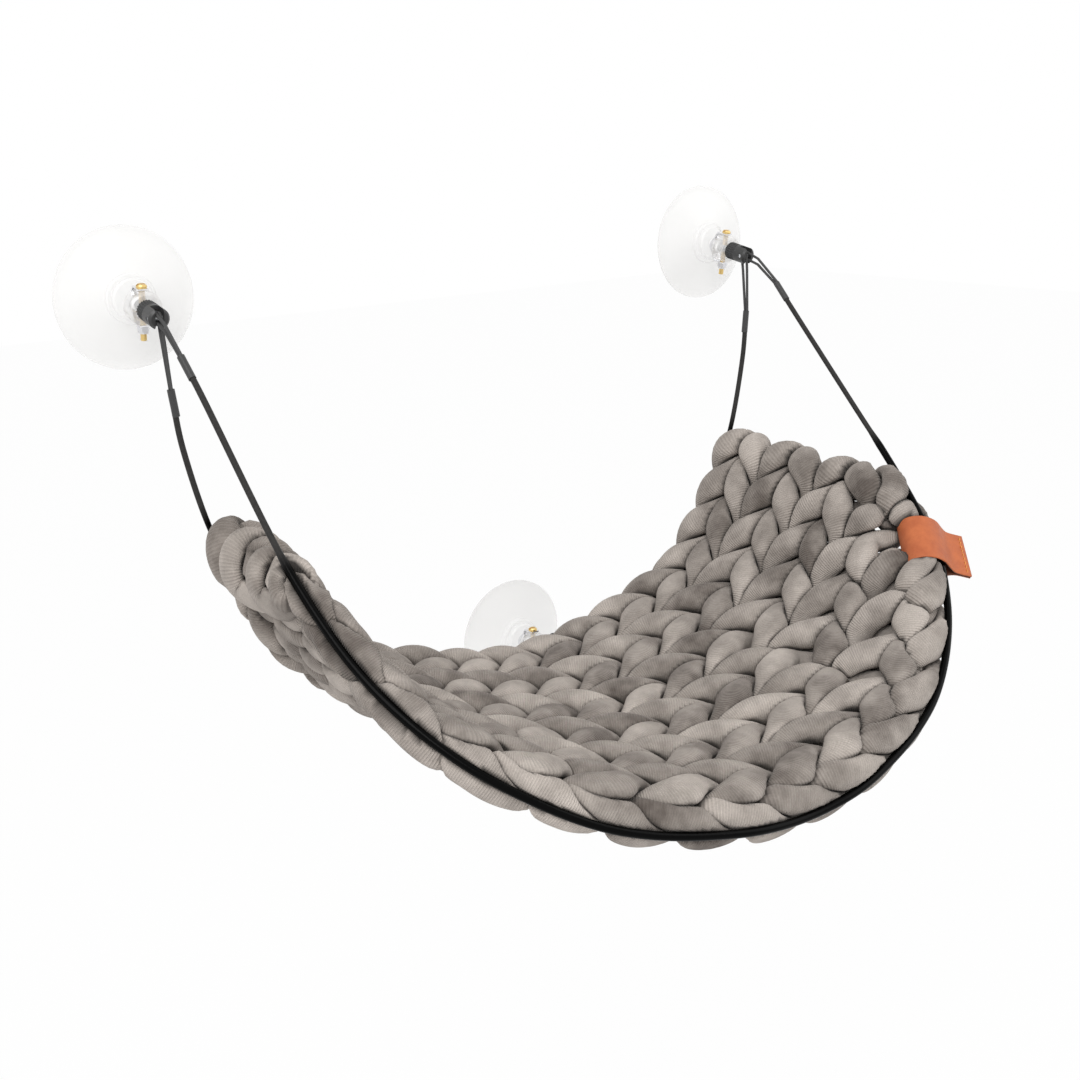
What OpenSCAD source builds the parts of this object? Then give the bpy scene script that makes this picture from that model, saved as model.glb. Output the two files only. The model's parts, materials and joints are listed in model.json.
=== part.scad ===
// Window cat perch: a knitted sling on two cords, held to the glass by three suction cups.
// Origin: on the glass, midway between the two upper cups. -Y points into the room, +Z is up.

/* [Suction cups] */
// Distance between the centres of the two upper cups
cup_spacing = 510; // [506:1:514]
// Sideways place of the lower cup, from the middle of the perch
lower_cup_x = 42; // [36:1:48]
// Drop from the upper cups to the lower cup
lower_cup_drop = 311; // [310:1:314]
// Outer diameter of each cup
cup_d = 95; // [88:1:100]
// Width of the flat sealing lip
lip_w = 5; // [3:0.5:8]
// Thickness of the cup's rim
rim_t = 1.2; // [0.8:0.1:2]
// Height of the dome, from the glass to the foot of the shoulder
dome_h = 10; // [8:0.5:11]
// Depth of the vacuum hollow under the dome
hollow_h = 6; // [4:0.5:7]
// Diameter of the wide shoulder ring
shoulder_d = 34; // [30:1:38]
// Diameter of the narrow shoulder ring
step_d = 28; // [25:1:29]
// Height of each shoulder ring
ring_h = 4.2; // [3:0.1:4.5]
// Diameter of the neck
neck_d = 10; // [8.5:0.5:11]
// Length of the neck between the shoulder and the head
neck_l = 8; // [7.5:0.1:9]
// Diameter of the drum-shaped head
head_d = 22.6; // [22:0.2:25]
// Length of the head along the cup's axis
head_l = 13.5; // [12.5:0.5:15]
// Downward lean of the loaded necks of the upper cups, in degrees
neck_lean = 11; // [6:0.5:14]

/* [Neck clips] */
// Thickness of the chromed strip
clip_t = 1; // [0.8:0.1:1.2]
// Width of the ears that reach over the head
ear_w = 7; // [6:0.5:9]
// Diameter of the small hole in the flared part of each ear
ear_hole_d = 2; // [1:0.5:3]

/* [Screws and studs] */
// Diameter of the brass cross screw
screw_d = 4; // [3:0.5:4.5]
// Diameter of the screw's head
screw_head_d = 7; // [6.5:0.5:8]
// Height of the screw's head
screw_head_h = 2.4; // [2:0.1:3]
// Length of bare thread that shows below the nut
screw_end = 5; // [3:0.5:8]
// Width of the nut across its flats
nut_af = 7; // [6.5:0.5:8]
// Height of the nut's hexagon
nut_h = 3.2; // [2.5:0.1:4]
// Height of the nut's locking collar
nut_collar_h = 1.6; // [1:0.1:2]
// Diameter of the steel stud inside the head and the grip
stud_d = 7; // [6.5:0.1:7.5]

/* [Grips and cord caps] */
// Outer diameter of the knurled grips and of the cord caps
grip_d = 14; // [13.4:0.2:15]
// Length of the knurled grips
grip_l = 9.2; // [8:0.1:10]
// Number of ribs round a grip
grip_ribs = 24; // [16:1:30]
// Depth of the grooves between the ribs
rib_depth = 0.5; // [0.3:0.1:0.8]
// Length of the cord caps
cap_l = 12.5; // [12:0.1:13.5]
// Width of the slot in a cord cap
slot_w = 5.8; // [5.4:0.1:6.4]
// Diameter of the pin that the cords hang on
pin_d = 3; // [2.8:0.1:3.2]

/* [Cords] */
// Diameter of the coated cords
cord_d = 4; // [3.6:0.1:4.4]
// Diameter of the bare strand in a cord's end loop
strand_d = 2.2; // [2:0.1:2.4]
// Length of the shrink tubes at the ends of the coating
tube_l = 18; // [8:1:20]
// Wall of the shrink tubes
tube_t = 0.5; // [0.3:0.1:0.8]

/* [Knitted sling] */
// Thickness of the knit, two layers of yarn
knit_t = 40; // [36:1:42]
// Thickness of the yarn
yarn_h = 21; // [19:0.5:23]
// Width of the yarn where it lies on the knit's face
yarn_w = 28; // [26:1:30]
// Number of rows of stitches
rows = 16; // [14:1:18]
// Width of a column of stitches
wale_w = 51; // [46:1:56]
// Radius that the knit's middle layer curls round along its edges
curl_r = 8; // [6:1:9]
// Sag of the bed's middle below its edges
bed_sag = 6; // [2:1:10]
// Rise of the bed's front edge over the level of its back edge
front_lift = 4; // [0:1:6]
// How far the knit reaches past the back cord's middle line
back_reach = 4; // [2:1:5]
// How far the knit reaches past the front cord's middle line
front_reach = 1; // [0:0.5:3]
// Knitted length along the back cord, to the left of its middle
back_left = 311; // [290:1:330]
// Knitted length along the back cord, to the right of its middle
back_right = 304; // [290:1:320]
// Knitted length along the front cord, to the left of its middle
front_left = 390; // [370:1:400]
// Knitted length along the front cord, to the right of its middle
front_right = 363; // [350:1:380]

/* [Leather label] */
// Width of the leather strip, along the front cord
label_w = 38; // [24:1:44]
// Thickness of the leather
leather_t = 1.6; // [1:0.1:2.2]
// Length of the loop round the knitted edge
loop_l = 30; // [26:1:34]
// Height of that loop
loop_h = 24; // [20:1:28]
// Length of the sewn free end
tab_l = 18; // [12:1:24]
// Place of the label along the front cord, right of its middle
label_s = 290; // [270:1:310]
// Droop of the free end below the line across the sling, in degrees
tab_droop = 60; // [30:5:80]
// Number of stitches across the free end
stitches = 9; // [5:1:12]
// Diameter of the sewing thread
thread_d = 0.8; // [0.5:0.1:1]

/* [Hidden] */

// Clearance of turning and sliding fits, on the radius
run_gap = 0.05;
// Clearance between faces that lie against each other
face_gap = 0.3;
// Overrun of every cut
cut = 1;
// Smoothness of round parts
round_fn = 64;
// Steps along the curved dome
dome_steps = 10;
// Sides of a cord, and steps of the bend round a pin
cord_sides = 8;
bend_steps = 4;
// Steps across the knit's underside, and steps round the label's loop
under_steps = 13;
loop_steps = 28;

// Places along a cup's axis, counted from the glass
shoulder_top = dome_h + 2 * ring_h;
lean_at = dome_h + ring_h;
head_base = shoulder_top + neck_l;
head_top = head_base + head_l;
screw_at = head_base + head_l * 0.42;
stud_base = screw_at - stud_d * 0.7;
grip_base = head_top + face_gap;
// The upper caps follow the grip, and the lower cap follows the head
upper_cap = grip_base + grip_l + face_gap;
lower_cap = grip_base;

// Heights above and below a cup's axis
ear_at = head_d / 2 + face_gap;
ear_top = ear_at + clip_t;
nut_top = -ear_top - run_gap;
screw_tip = nut_top - nut_h - nut_collar_h - screw_end;
// Radius of a clip's band, and the two ends of the flared legs that join it to the ears
band_r = neck_d / 2 + run_gap;
leg_foot = shoulder_top + neck_l * 0.42;
leg_top = head_base - face_gap - clip_t;

// Radius of a cord loop's middle line, round its pin
eye_r = pin_d / 2 + face_gap + strand_d / 2;
// From the base of a cord cap to its pin, and to the floor of its slot
pin_in_cap = cap_l - pin_d * 1.4;
slot_in_cap = pin_in_cap - eye_r - strand_d / 2 - 2 * face_gap;

// Centres of the upper pins and of the lower pin, as seen from the side
pin_out = upper_cap + pin_in_cap - lean_at;
pin_y = -lean_at - pin_out * cos(neck_lean);
pin_z = -pin_out * sin(neck_lean);
lower_pin_y = -lower_cap - pin_in_cap;
// Each upper pin holds the front cord's loop on its outer half, the back cord's on its inner half
strand_x = (strand_d + face_gap) / 2;
front_x = cup_spacing / 2 + strand_x;
back_x = cup_spacing / 2 - strand_x;

// Routes of the cords, from the middle of the perch to the end of the coating on the right
front_route = [[0, -386, -308], [42, -386, -304], [82, -379, -297], [117, -370, -288],
    [147, -359, -276], [177, -342, -258], [204, -320, -237], [226, -293, -212],
    [240, -260, -185], [248, -222, -152], [251, -186, -119], [254, -118, -53], [256, -93, -29]];
back_route = [[0, -61, -302], [37, -61, -298], [97, -61, -284], [145, -61, -269],
    [173, -61, -252], [197, -61, -225], [218, -61, -191], [236, -61, -152],
    [249, -61, -95], [253, -61, -54]];
// Bends of the end loops' strands, as distances out from and above the pin: to it, and back from it
front_rise = [[-14, -2.2]];
front_fall = [[-13.5, -6.8]];
back_rise = [[-3.6, -12]];
back_fall = [[1.2, -12]];

function unit(v) = v / norm(v);
function flip_x(p) = [-p[0], p[1], p[2]];
function mirrored(half) = concat([for (i = [len(half) - 1:-1:1]) flip_x(half[i])], half);

// A strand that rises beside the right pin, bends over it and falls again
function bend_points(from, to) = [for (i = [0:bend_steps])
    let (a = from + (to - from) * i / bend_steps) eye_r * [cos(a), sin(a)]];
function by_pin(x, offsets) = [for (q = offsets) [x, pin_y + q[0], pin_z + q[1]]];
// Where the two strands of a loop leave the end of the coating, side by side
function strand_ends(route) = let (last = len(route) - 1,
    along = unit(route[last] - route[last - 1]),
    apart = unit(cross([1, 0, 0], along)) * strand_x) [route[last] + apart, route[last] - apart];
function loop_path(route, x, offsets) = let (ends = strand_ends(route))
    concat([ends[0]], by_pin(x, offsets), [ends[1]]);
front_loop_path = loop_path(front_route, front_x,
    concat(front_rise, bend_points(90, -90), front_fall));
back_loop_path = loop_path(back_route, back_x,
    concat(back_rise, bend_points(180, 0), back_fall));

// Places along a cord, at lengths counted from its middle to the right
front_line = mirrored(front_route);
back_line = mirrored(back_route);
function lengths(p) = [for (i = 0, s = 0; i < len(p); i = i + 1,
    s = i < len(p) ? s + norm(p[i] - p[i - 1]) : s) s];
front_lengths = lengths(front_line);
back_lengths = lengths(back_line);
function leg_at(c, s, i = 0) = i >= len(c) - 2 || c[i + 1] > s ? i : leg_at(c, s, i + 1);
function place_at(p, c, s) = let (i = leg_at(c, s), k = (s - c[i]) / (c[i + 1] - c[i]))
    p[i] + (p[i + 1] - p[i]) * k;
function front_at(s) = place_at(front_line, front_lengths,
    front_lengths[len(front_route) - 1] + s);
function back_at(s) = place_at(back_line, back_lengths, back_lengths[len(back_route) - 1] + s);
back_cord_y = back_route[0][1];
function back_cord_z(x) = lookup(x, [for (p = back_route) [p[0], p[2]]]);

// Directions along a route, and a side direction that is carried along it without twist
function heading(p, i) = unit(p[min(i + 1, len(p) - 1)] - p[max(i - 1, 0)]);
function squared(n, t) = unit(n - (n * t) * t);
function sides_of(p) = [for (i = 0, n = squared([0, 1, 0.2], heading(p, 0)); i < len(p);
    i = i + 1, n = i < len(p) ? squared(n, heading(p, i)) : n) n];

// Triangles over rings of n points. Their first squares are split along the legs of the stitches
function wall(rows, n, rings, knitted = 0) = [for (i = [0:rows - 1]) for (k = [0:n - 1])
    let (a = i * n, b = (i + 1) % rings * n, next = (k + 1) % n)
    each k < knitted && (k + 3) % 4 < 2
        ? [[a + k, b + k, b + next], [a + k, b + next, a + next]]
        : [[a + k, b + k, a + next], [b + k, b + next, a + next]]];
// Triangles over the two end rings
function low_end(n) = [for (k = [1:n - 2]) [0, k, k + 1]];
function high_end(first, n) = [for (k = [1:n - 2]) [first, first + k + 1, first + k]];
function closed_wall(rings, n, knitted = 0) = concat(wall(rings - 1, n, rings, knitted),
    low_end(n), high_end((rings - 1) * n, n));

function round_ring(centre, r, side, t) = [for (k = [0:cord_sides - 1])
    let (a = 360 * k / cord_sides) centre + r * (cos(a) * side + sin(a) * cross(t, side))];

// A round cord along an open route
module swept_cord(path, d) {
    side = sides_of(path);
    points = [for (i = [0:len(path) - 1]) each round_ring(path[i], d / 2, side[i], heading(path, i))];
    polyhedron(points, closed_wall(len(path), cord_sides));
}

// A round cord along a closed route that lies in a plane across X
module closed_cord(path, d) {
    n = len(path);
    points = [for (i = [0:n - 1])
        let (t = unit(path[(i + 1) % n] - path[(i + n - 1) % n]))
        each round_ring(path[i], d / 2, [1, 0, 0], t)];
    polyhedron(points, wall(n, cord_sides, n));
}

// Puts an anchor's parts on the glass: +Z runs along the cup's axis, into the room
module on_glass(x, z) {
    translate([x, 0, z])
        rotate([90, 0, 0])
            children();
}

// Tips what is past the neck downwards
module leaning(lean) {
    translate([0, 0, lean_at])
        rotate([lean, 0, 0])
            translate([0, 0, -lean_at])
                children();
}

// Across the head, with +Z pointing up
module crosswise() {
    translate([0, 0, screw_at])
        rotate([-90, 0, 0])
            children();
}

module cross_hole(length) {
    crosswise()
        cylinder(h = length + 2 * cut, d = screw_d + 2 * run_gap, center = true, $fn = round_fn);
}

// Height of the dome's outer face, and of the hollow under it, at a radius
function dome_at(r) = let (k = (cup_d / 2 - r) / (cup_d / 2 - shoulder_d / 2))
    rim_t + (dome_h - rim_t) * pow(k, 1.35);
function hollow_at(r) = hollow_h * (1 - pow(r / (cup_d / 2 - lip_w), 2));

module cup_profile() {
    outer = [for (i = [0:dome_steps])
        let (r = cup_d / 2 + (shoulder_d / 2 - cup_d / 2) * i / dome_steps) [r, dome_at(r)]];
    inner = [for (i = [0:dome_steps])
        let (r = (cup_d / 2 - lip_w) * i / dome_steps) [r, hollow_at(r)]];
    polygon(concat(inner, [[cup_d / 2, 0]], outer,
        [[shoulder_d / 2, dome_h + ring_h * 0.8], [shoulder_d / 2 - ring_h * 0.2, lean_at],
        [step_d / 2, lean_at], [step_d / 2, shoulder_top - ring_h * 0.3],
        [step_d / 2 - ring_h * 0.3, shoulder_top], [0, shoulder_top]]));
}

module head_profile() {
    edge = head_l * 0.14;
    polygon([[0, dome_h], [neck_d / 2, dome_h], [neck_d / 2, head_base],
        [head_d / 2 - edge, head_base], [head_d / 2, head_base + edge],
        [head_d / 2, head_top - edge], [head_d / 2 - edge, head_top], [0, head_top]]);
}

module suction_cup(lean) {
    socket_base = stud_base - face_gap;
    color([0.95, 0.94, 0.93, 0.4])
        difference() {
            union() {
                rotate_extrude($fn = 2 * round_fn)
                    cup_profile();
                leaning(lean)
                    rotate_extrude($fn = round_fn)
                        head_profile();
            }
            leaning(lean) {
                cross_hole(head_d);
                translate([0, 0, socket_base])
                    cylinder(h = head_top - socket_base + cut, d = stud_d + 2 * run_gap,
                        $fn = round_fn);
            }
        }
}

// One ear of a clip, above the axis: a flared leg, then a flat tab under the screw's head
module clip_ear() {
    foot_r = band_r + clip_t;
    tab_end = screw_at + ear_w / 2;
    translate([-ear_w / 2, 0, 0])
        rotate([90, 0, 90])
            linear_extrude(ear_w)
                polygon([[foot_r - clip_t * 0.4, leg_foot], [foot_r, leg_foot - clip_t],
                    [ear_top, leg_top], [ear_top, tab_end], [ear_at, tab_end],
                    [ear_at, leg_top + clip_t * 0.4], [foot_r - clip_t * 0.4, leg_foot + clip_t]]);
}

// A band round the neck, split on one side to spring over it, with an ear above and one below
module neck_clip(lean) {
    band_top = shoulder_top + neck_l * 0.82;
    // The lower side of a leaning band comes nearer to the shoulder
    band_base = lean_at + (ring_h + face_gap + (band_r + clip_t) * sin(lean)) / cos(lean);
    color([0.8, 0.8, 0.82])
        leaning(lean)
            difference() {
                union() {
                    translate([0, 0, band_base])
                        cylinder(h = band_top - band_base, r = band_r + clip_t, $fn = round_fn);
                    clip_ear();
                    mirror([0, 1, 0])
                        clip_ear();
                }
                translate([0, 0, shoulder_top - cut])
                    cylinder(h = neck_l + cut, r = band_r, $fn = round_fn);
                cross_hole(2 * ear_top);
                for (up = [-1, 1])
                    translate([0, up * (band_r + ear_top) / 2, (leg_foot + leg_top) / 2])
                        rotate([up * 45, 0, 0])
                            cylinder(h = neck_l, d = ear_hole_d, center = true, $fn = round_fn / 2);
                translate([0, -clip_t / 2, shoulder_top])
                    cube([band_r + clip_t + cut, clip_t, neck_l]);
            }
}

module cross_screw(lean) {
    seat = ear_top + run_gap;
    brim_h = screw_head_h * 0.55;
    slot = screw_head_d * 0.16;
    color([0.80, 0.60, 0.25])
        leaning(lean)
            crosswise()
                difference() {
                    union() {
                        translate([0, 0, screw_tip])
                            cylinder(h = seat + brim_h - screw_tip, d = screw_d, $fn = round_fn);
                        translate([0, 0, seat])
                            cylinder(h = brim_h, d = screw_head_d, $fn = round_fn);
                        translate([0, 0, seat + brim_h])
                            cylinder(h = screw_head_h - brim_h, d1 = screw_head_d,
                                d2 = screw_head_d * 0.72, $fn = round_fn);
                    }
                    translate([-screw_head_d, -slot / 2, seat + brim_h])
                        cube([2 * screw_head_d, slot, screw_head_h]);
                }
}

module lock_nut(lean) {
    nut_base = nut_top - nut_h;
    collar_base = nut_base - nut_collar_h;
    color([0.78, 0.78, 0.80])
        leaning(lean)
            crosswise()
                difference() {
                    union() {
                        translate([0, 0, nut_base])
                            cylinder(h = nut_h, d = nut_af / cos(30), $fn = 6);
                        translate([0, 0, collar_base])
                            cylinder(h = nut_collar_h, d = nut_af * 0.93, $fn = round_fn);
                    }
                    translate([0, 0, collar_base - cut])
                        cylinder(h = nut_h + nut_collar_h + 2 * cut, d = screw_d + 2 * run_gap,
                            $fn = round_fn);
                }
}

// Holds the cord cap to the head: the cross screw goes through its eye
module anchor_stud(lean, cap_base) {
    stud_top = cap_base + slot_in_cap - face_gap;
    color([0.60, 0.61, 0.63])
        leaning(lean)
            difference() {
                translate([0, 0, stud_base])
                    cylinder(h = stud_top - stud_base, d = stud_d, $fn = round_fn);
                cross_hole(stud_d);
            }
}

module knurled_grip(lean) {
    color([0.20, 0.20, 0.21])
        leaning(lean)
            translate([0, 0, grip_base])
                difference() {
                    linear_extrude(grip_l)
                        polygon([for (i = [0:4 * grip_ribs - 1])
                            let (r = grip_d / 2 - (i % 4 < 2 ? 0 : rib_depth), a = 90 * i / grip_ribs)
                            [r * cos(a), r * sin(a)]]);
                    translate([0, 0, -cut])
                        cylinder(h = grip_l + 2 * cut, d = stud_d + 2 * run_gap, $fn = round_fn);
                }
}

// A fork whose two cheeks hold the pin, on the end of the stud
module cord_cap(lean, cap_base) {
    edge = grip_d * 0.1;
    color([0.06, 0.06, 0.06])
        leaning(lean)
            translate([0, 0, cap_base])
                difference() {
                    union() {
                        cylinder(h = cap_l - edge, d = grip_d, $fn = round_fn);
                        translate([0, 0, cap_l - edge])
                            cylinder(h = edge, d1 = grip_d, d2 = grip_d - 2 * edge, $fn = round_fn);
                    }
                    translate([-slot_w / 2, -grip_d, slot_in_cap])
                        cube([slot_w, 2 * grip_d, cap_l]);
                    translate([0, 0, -cut])
                        cylinder(h = slot_in_cap + 2 * cut, d = stud_d + 2 * run_gap, $fn = round_fn);
                    translate([0, 0, pin_in_cap])
                        rotate([0, 90, 0])
                            cylinder(h = grip_d + 2 * cut, d = pin_d + 2 * run_gap, center = true,
                                $fn = round_fn);
                }
}

module cord_pin(lean, cap_base) {
    color([0.55, 0.56, 0.58])
        leaning(lean)
            translate([0, 0, cap_base + pin_in_cap])
                rotate([0, 90, 0])
                    cylinder(h = grip_d * 0.92, d = pin_d, center = true, $fn = round_fn);
}

module front_cord() {
    color([0.07, 0.07, 0.07])
        swept_cord(front_line, cord_d);
}

module back_cord() {
    color([0.07, 0.07, 0.07])
        swept_cord(back_line, cord_d);
}

// The bare strand that leaves the coating, goes round the pin and comes back
module end_loop(path) {
    color([0.12, 0.12, 0.12])
        swept_cord(path, strand_d);
}

// Shrunk over the last of the coating, next to the end loop
module shrink_tube(route) {
    last = len(route) - 1;
    axis = unit(route[last - 1] - route[last]);
    color([0.04, 0.04, 0.04])
        translate(route[last])
            rotate([0, acos(axis[2]), atan2(axis[1], axis[0])])
                difference() {
                    cylinder(h = tube_l, d = cord_d + 2 * tube_t, $fn = round_fn / 2);
                    translate([0, 0, -cut])
                        cylinder(h = tube_l + 2 * cut, d = cord_d + 2 * run_gap, $fn = round_fn / 2);
                }
}

// Half turns round two centres in a plane across X, which two straight runs join
function half_turn(centre, r, from) = [for (i = [0:bend_steps])
    let (a = from + 180 * i / bend_steps) centre + r * [cos(a), sin(a)]];
function loop_between(a, ra, b, rb, x) = let (t = atan2(b[1] - a[1], b[0] - a[0]))
    [for (q = concat(half_turn(a, ra, t + 90), half_turn(b, rb, t - 90))) [x, q[0], q[1]]];

// Ties the lower anchor's pin to the back cord
module lower_cord_loop() {
    color([0.12, 0.12, 0.12])
        closed_cord(loop_between([lower_pin_y, -lower_cup_drop], eye_r,
            [back_cord_y, back_cord_z(lower_cup_x)], (cord_d + strand_d) / 2 + face_gap,
            lower_cup_x), strand_d);
}

// Half the distance between the knit's two layers, and the radius of the yarn's curl at the edges
layer = (knit_t - yarn_h) / 2;
outer_r = curl_r + layer;
// From each cord's line to the middle of the curled edge there
back_edge = curl_r + knit_t / 2 - back_reach;
front_edge = curl_r + knit_t / 2 - front_reach;
// How far past that middle the outermost columns of stitches lie
past_edge = outer_r * 0.86;
row_pitch = (back_left + back_right + front_left + front_right) / 2 / rows;
// Reach of a loop up and down from its row, in rows, and swing of its legs, in columns
loop_reach_share = 0.8;
leg_swing_share = 0.3;
// How much of its thickness the knit has near its ends, at distances from them in rows
end_shares = [[0, 0.45], [0.25, 0.85], [0.5, 1]];
// The curled edge below the cords: angles from its top, and shares of its outer radius
under_edge_shares = [[120, 0.82], [150, 0.68]];

function knit_back(u) = back_at(-back_left + (back_left + back_right) * u);
function knit_front(u) = front_at(-front_left + (front_left + front_right) * u);
function knit_width(y) = norm(knit_front(y / rows) - knit_back(y / rows));

// Places across the bed of a row's stitches. The columns near the front share what is left over
function last_wale(y) = knit_width(y) - front_edge + past_edge;
first_wale = back_edge - past_edge;
wales = [for (row = [0:rows - 1])
    let (span = last_wale(row + 0.5) - first_wale, last = round(span / wale_w))
    [for (i = [0:last]) first_wale + wale_w * i + (span - wale_w * last) * pow(i / last, 2)]];
function wale_gap(w, i, side) = i + side < 0 || i + side >= len(w) ? wale_w : abs(w[i + side] - w[i]);
// Four steps a column across the face. A row with fewer columns has finer steps in its last one
face_steps = 4 * max([for (w = wales) len(w)]) - 2;
function face_place(w, i) = let (last = len(w) - 1, k = 4 * last - 4,
    step = i - 1 <= k ? i - 1 : k + 5 * (i - 1 - k) / (face_steps - 1 - k))
    lookup(step / 4, concat([[-1, w[0] - wale_w]], [for (j = [0:last]) [j, w[j]]],
        [[last + 1, w[last] + wale_w]]));
function rows_near(y) = [max(0, floor(y) - 1):min(rows - 1, floor(y) + 1)];

// Height of the yarn's round back, at a distance from its middle line
function yarn_back(off) = let (k = 2 * off / yarn_w)
    abs(k) < 1 ? yarn_h / 2 * sqrt(1 - k * k) : -yarn_h;
// The two legs of a loop lean apart as they rise over the face and sink again
function leg_height(off, gap, q) = layer * (1 - 2 * q * q)
    + yarn_back(off - gap * (acos(q) / 360 + 2 * leg_swing_share * q * sqrt(1 - q * q)));
function face_height(x, y) = max([for (row = rows_near(y))
    let (q = (y - row - 0.5) / loop_reach_share)
    if (abs(q) < 1) for (i = [0:len(wales[row]) - 1]) for (side = [-1, 1])
        leg_height(side * (x - wales[row][i]), wale_gap(wales[row], i, side), q)]);
// The heads of the loops, and the bars between them, lie across the underside
function bar_height(off, ahead) = let (k = off / wale_w / (leg_swing_share + 1 / 8))
    abs(k) >= 1 ? 0 : layer * sqrt(1 - k * k)
        + yarn_back((ahead - loop_reach_share * cos(asin(k) / 2)) * row_pitch);
function under_height(x, y) = max([for (row = rows_near(y)) for (i = [0:len(wales[row]) - 1])
    let (w = wales[row], ahead = y - row - 0.5, half = wale_gap(w, i, 1) / 2)
        max(layer, bar_height(x - w[i], ahead), bar_height(x - w[i] - half, -ahead))]);

// A point of the section, across from the back cord and off the middle layer, which curls under
function curled(x, off, width) = let (flat = max(back_edge, min(width - front_edge, x)),
    turn = (x - flat) / outer_r * 180 / PI, k = (flat - back_edge) / (width - back_edge - front_edge))
    [flat + (curl_r + off) * sin(turn),
        (curl_r + off) * cos(turn) - curl_r + front_lift * k - bed_sag * sin(180 * k)];
function under_edge(x, level, side, r) = [for (q = under_edge_shares)
    [x + side * r * q[1] * sin(q[0]), r * q[1] * cos(q[0]) - curl_r + level]];
function reversed(list) = [for (i = [len(list) - 1:-1:0]) list[i]];
function knit_outline(y) = let (k = lookup(min(y, rows - y), end_shares), width = knit_width(y),
    w = wales[min(floor(y), rows - 1)],
    r = curl_r + k * knit_t / 2, flat = width - front_edge - back_edge)
    concat([for (i = [0:face_steps]) let (x = face_place(w, i))
            curled(x, k * face_height(x, y), width)],
        under_edge(width - front_edge, front_lift, 1, r),
        [for (i = [under_steps:-1:0]) let (x = back_edge + flat * i / under_steps)
            curled(x, -k * under_height(x, y), width)],
        reversed(under_edge(back_edge, 0, -1, r)));

function knit_ring(y) = let (u = y / rows, back = knit_back(u), front = knit_front(u),
    ahead = min(u + 1 / rows, 1), behind = max(u - 1 / rows, 0),
    across = unit(front - back),
    along = knit_back(ahead) + knit_front(ahead) - knit_back(behind) - knit_front(behind),
    up = unit(cross(across, along)))
    [for (q = knit_outline(y)) back + q[0] * across + q[1] * up];

// Two rings a row, at the middle of its stitches and between them, and one more near each end
module knitted_sling() {
    near_end = end_shares[1][0];
    places = concat([0, near_end], [for (i = [1:2 * rows - 1]) i / 2], [rows - near_end, rows]);
    rings = [for (y = places) knit_ring(y)];
    color([0.62, 0.59, 0.56])
        polyhedron([for (ring = rings) each ring], closed_wall(len(rings), len(rings[0]),
            face_steps));
}

// Directions at the label: along the cord, across the sling, off its upper face, along the tab
label_u = (label_s + front_left) / (front_left + front_right);
label_along = unit(front_at(label_s + label_w / 2) - front_at(label_s - label_w / 2));
label_across = squared(unit(knit_front(label_u) - knit_back(label_u)), label_along);
label_up = cross(label_across, label_along);
label_out = cos(tab_droop) * label_across - sin(tab_droop) * label_up;
label_side = cross(label_along, label_out);
label_centre = front_at(label_s) - label_across * loop_l * 0.25 + label_up * loop_h * 0.1;

// Puts the label's section in place: +Z runs along the front cord, +X along the tab
module at_label() {
    multmatrix([for (k = [0:2]) [label_out[k], label_side[k], label_along[k], label_centre[k]]])
        children();
}

// The loop's outline, which narrows towards the tab
function loop_outline(l, h) = [for (i = [0:loop_steps - 1])
    let (a = 360 * i / loop_steps, near = pow((1 + cos(a)) / 2, 2))
    [l / 2 * cos(a), h / 2 * sin(a) * (1 - 0.5 * near)]];

module leather_label() {
    color([0.77, 0.42, 0.24])
        at_label()
            translate([0, 0, -label_w / 2])
                linear_extrude(label_w) {
                    difference() {
                        polygon(loop_outline(loop_l, loop_h));
                        polygon(loop_outline(loop_l - 2 * leather_t, loop_h - 2 * leather_t));
                    }
                    translate([loop_l / 2 - leather_t, -leather_t])
                        square([tab_l + leather_t, 2 * leather_t]);
                }
}

// One row of stitches across the tab, on both of its faces
module label_stitching() {
    pitch = label_w / (stitches + 1);
    row_x = loop_l / 2 + tab_l - leather_t * 2;
    color([0.93, 0.62, 0.25])
        at_label()
            for (side = [-1, 1])
                for (i = [1:stitches])
                    translate([row_x, side * leather_t, i * pitch - label_w / 2])
                        cylinder(h = pitch * 0.65, d = thread_d, center = true,
                            $fn = round_fn / 4);
}

on_glass(-cup_spacing / 2, 0)  // suction_cup_left
        suction_cup(neck_lean);
on_glass(cup_spacing / 2, 0)  // suction_cup_right
        suction_cup(neck_lean);
on_glass(lower_cup_x, -lower_cup_drop)  // suction_cup_lower
        suction_cup(0);
on_glass(-cup_spacing / 2, 0)  // neck_clip_left
        neck_clip(neck_lean);
on_glass(cup_spacing / 2, 0)  // neck_clip_right
        neck_clip(neck_lean);
on_glass(lower_cup_x, -lower_cup_drop)  // neck_clip_lower
        neck_clip(0);
on_glass(-cup_spacing / 2, 0)  // cross_screw_left
        cross_screw(neck_lean);
on_glass(cup_spacing / 2, 0)  // cross_screw_right
        cross_screw(neck_lean);
on_glass(lower_cup_x, -lower_cup_drop)  // cross_screw_lower
        cross_screw(0);
on_glass(-cup_spacing / 2, 0)  // lock_nut_left
        lock_nut(neck_lean);
on_glass(cup_spacing / 2, 0)  // lock_nut_right
        lock_nut(neck_lean);
on_glass(lower_cup_x, -lower_cup_drop)  // lock_nut_lower
        lock_nut(0);
on_glass(-cup_spacing / 2, 0)  // anchor_stud_left
        anchor_stud(neck_lean, upper_cap);
on_glass(cup_spacing / 2, 0)  // anchor_stud_right
        anchor_stud(neck_lean, upper_cap);
on_glass(lower_cup_x, -lower_cup_drop)  // anchor_stud_lower
        anchor_stud(0, lower_cap);
on_glass(-cup_spacing / 2, 0)  // knurled_grip_left
        knurled_grip(neck_lean);
on_glass(cup_spacing / 2, 0)  // knurled_grip_right
        knurled_grip(neck_lean);
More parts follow.
